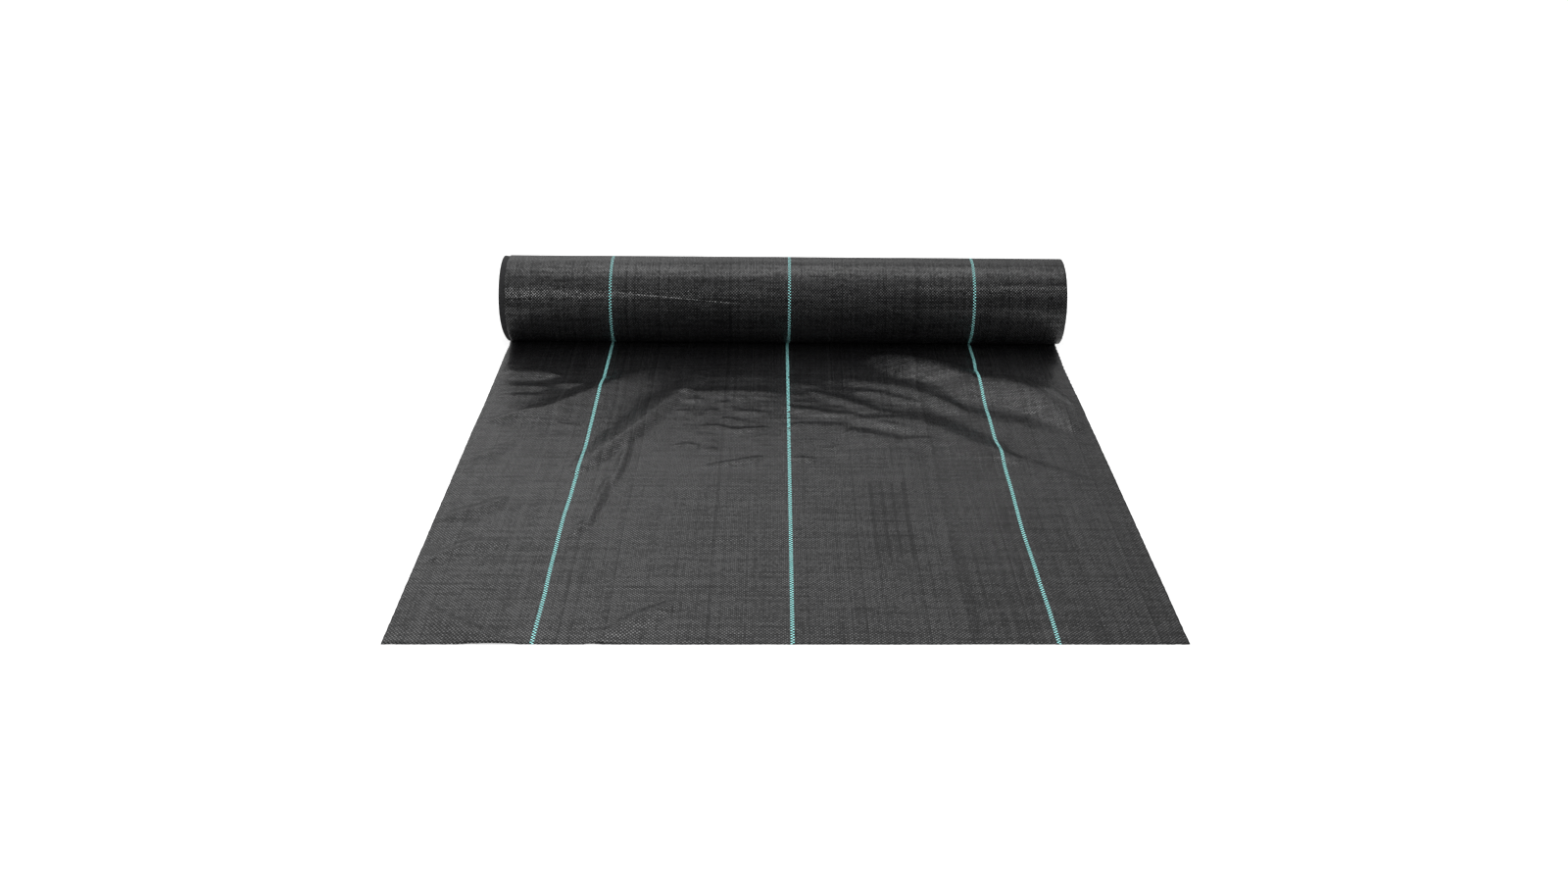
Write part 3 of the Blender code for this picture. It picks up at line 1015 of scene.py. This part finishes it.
def ribbon_material():
    """Teal polypropylene tape with fine lines along its run, with painted shade where it dives under a weft.
    """
    recipe = material_recipe("teal_woven_tape")
    side, length = recipe.place()
    weft = recipe.maths("DIVIDE", length, weft_pitch)
    lines = recipe.noise(side, length, *teal_line_noise)
    crossing = recipe.chance(recipe.maths("FLOOR", weft), 4.0)
    # Painted shade where the tape dives under a weft.
    dive = recipe.ramp(recipe.maths("ABSOLUTE", recipe.centred(weft)), *teal_dive)
    shade = recipe.weighed(0.0, (crossing, teal_crossing_shade), (lines, teal_line_shade))
    return recipe.dress({
        "Base Color": recipe.tint(dive, recipe.tint(shade, *teal_colours), teal_dive_painted_shade),
        "Roughness": recipe.weighed(teal_roughness, (lines, teal_line_roughness)),
        "Normal": recipe.bump(lines, teal_line_height),
        "IOR": teal_refraction,
    })


def layer_edge_material():
    """Cut and folded edges of the wound layers: dull black with lighter worn spots."""
    recipe = material_recipe("wound_web_edges")
    parts = recipe.split(recipe.add("ShaderNodeTexCoord").outputs["Object"])
    wear = recipe.noise(parts[1], parts[2], *wear_noise)
    cloud = recipe.noise(parts[1], parts[2], *edge_cloud_noise)
    cloud_shade = recipe.ramp(cloud, *noise_range, edge_cloud_shade, 1.0)
    shade = recipe.product(recipe.ramp(wear, *edge_worn), cloud_shade)
    return recipe.dress({
        "Base Color": recipe.tint(shade, *edge_colours),
        "Roughness": recipe.weighed(edge_roughness, (wear, edge_wear_roughness)),
        "Normal": recipe.bump(wear, edge_wear_height),
        "Specular IOR Level": edge_gloss,
    })


def paper_material():
    """Kraft paper: brown with fibres, and the open seam of its outer ply winding along it."""
    recipe = material_recipe("kraft_paper_tube")
    place = recipe.add("ShaderNodeTexCoord").outputs["Object"]
    x, y, z = recipe.split(place)
    back = recipe.maths("SUBTRACT", y, contact_y)
    up = recipe.maths("SUBTRACT", z, roll_radius)
    turn = recipe.maths("DIVIDE", recipe.maths("ARCTAN2", back, up), 2 * math.pi)
    wound = recipe.maths("FRACT", recipe.maths("ADD", turn, recipe.maths("DIVIDE", x, seam_lead)))
    beside_seam = recipe.maths("ABSOLUTE", recipe.maths("SUBTRACT", wound, 0.5))
    ply = recipe.ramp(beside_seam, 0.0, seam_width)
    fibres = recipe.add("ShaderNodeTexNoise", {"Vector": place, **fibre_noise}).outputs[0]
    blotches = recipe.add("ShaderNodeTexNoise", {"Vector": place, **blotch_noise}).outputs[0]
    shade = recipe.weighed(0.0, (blotches, blotch_shade), (fibres, fibre_shade))
    shade = recipe.product(shade, recipe.weighed(1 - seam_darkness, (ply, seam_darkness)))
    return recipe.dress({
        "Base Color": recipe.tint(shade, *paper_colours),
        "Roughness": recipe.ramp(fibres, *fibre_range, *fibre_roughness),
        "Normal": recipe.bump(recipe.weighed(ply, (fibres, fibre_height)), paper_height),
    })


def background_share(recipe):
    """1 for rays that show the background to the camera, mirrored or through something clear, else 0."""
    light_path = recipe.add("ShaderNodeLightPath").outputs
    seen = recipe.maths("MAXIMUM", light_path["Is Camera Ray"], light_path["Is Glossy Ray"])
    return recipe.maths("MAXIMUM", seen, light_path["Is Transmission Ray"])


def floor_material():
    """Pale floor that keeps the shadow, lifted to white for the camera and slightly in reflections."""
    recipe = material_recipe("pale_floor")
    seen = recipe.add("ShaderNodeLightPath").outputs["Is Camera Ray"]
    mirrored = recipe.maths("MULTIPLY", background_share(recipe), floor_gloss_lift)
    return recipe.dress({
        "Base Color": (floor_grey, floor_grey, floor_grey, 1.0),
        "Roughness": 1.0,
        "Specular IOR Level": 0.0,
        "Emission Color": white,
        "Emission Strength": recipe.blend(seen, mirrored, floor_lift),
    })


def add_floor():
    mesh = bpy.data.meshes.new("floor")
    shape = bmesh.new()
    bmesh.ops.create_grid(shape, x_segments=4, y_segments=4, size=floor_size / 2)
    shape.to_mesh(mesh)
    shape.free()
    mesh.materials.append(floor_material())
    floor = put_in_scene("floor", mesh)


def add_world():
    """White to the camera, an even fill for the light on the object, and in reflections a room that is
    brightest behind the object."""
    recipe = Recipe(bpy.data.worlds.new("studio"), "Background")
    direction = recipe.add("ShaderNodeTexCoord").outputs["Generated"]
    facing = recipe.add("ShaderNodeVectorMath", operation="DOT_PRODUCT")
    recipe.put(facing.inputs[0], direction)
    recipe.put(facing.inputs[1], Vector(bright_side).normalized())
    x, _, z = recipe.split(direction)
    room = recipe.product(
        recipe.ramp(facing.outputs["Value"], *room_facing),
        recipe.ramp(x, *room_across),
        recipe.ramp(z, *room_low),
        recipe.ramp(z, *room_high),
    )
    level = recipe.blend(background_share(recipe), world_fill, room)
    seen = recipe.add("ShaderNodeLightPath").outputs["Is Camera Ray"]
    world = recipe.dress({"Color": white, "Strength": recipe.blend(seen, level, 1.0)})
    bpy.context.scene.world = world


def add_lamp(name, place, target, width, depth, brightness):
    """Soft rectangular lamp. Its brightness is what a ray that meets it sees, where 1 is white."""
    light = bpy.data.lights.new(name, "AREA")
    light.shape = "RECTANGLE"
    light.size = width
    light.size_y = depth
    light.energy = brightness * math.pi * width * depth
    lamp = put_in_scene(name, light)
    lamp.location = place
    lamp.rotation_euler = (Vector(target) - Vector(place)).to_track_quat("-Z", "Y").to_euler()


def add_camera():
    """The photograph's camera: yaw, pitch and roll turn it from a level look along the laid web."""
    camera = bpy.data.cameras.new("photo_camera")
    camera.sensor_width = sensor_width_mm
    camera.lens = focal_pixels * sensor_width_mm / image_width
    flat = math.cos(camera_pitch)
    ahead = Vector((math.sin(camera_yaw) * flat, math.cos(camera_yaw) * flat, -math.sin(camera_pitch)))
    level = Vector((math.cos(camera_yaw), -math.sin(camera_yaw), 0.0))
    above = level.cross(ahead)
    right = level * math.cos(camera_roll) + above * math.sin(camera_roll)
    up = above * math.cos(camera_roll) - level * math.sin(camera_roll)
    turn = Matrix((right, up, -ahead)).transposed().to_4x4()
    item = put_in_scene("photo_camera", camera)
    item.matrix_world = Matrix.Translation((camera_across, contact_y - camera_distance, camera_height)) @ turn
    bpy.context.scene.camera = item


def main():
    bpy.context.scene.view_settings.view_transform = "Standard"
    # The default prefilter takes the weave for render noise and wipes it out.
    bpy.context.scene.cycles.denoising_prefilter = "NONE"
    add_camera()
    add_world()
    for lamp in lamps:
        add_lamp(*lamp)
    add_floor()

    web = web_material()
    teal = ribbon_material()
    laid = add_laid_web(web)
    laid_ribbons = add_ribbons("sheet", 0.0, laid_length, laid_place, teal)
    outer = add_roll_web(web)
    outer_ribbons = add_ribbons("lap", laid_length, lap_end, roll_place, teal)
    layers = add_wound_layers(web, layer_edge_material())
    tube = add_paper_tube(paper_material())

    for piece in (laid, *laid_ribbons):
        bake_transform(piece)
    for piece in (outer, *outer_ribbons):
        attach(piece, "carriage")
    for piece in (layers, tube):
        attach(piece, "roll")
    for piece, node, slot in (
        (laid, "laid_sheet", "black_woven_web"),
        (outer, "outer_lap", "black_woven_web"),
        (layers, "wound_pack", "black_woven_web"),
        (tube, "core_tube", "kraft_paper"),
    ):
        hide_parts(node)


main()
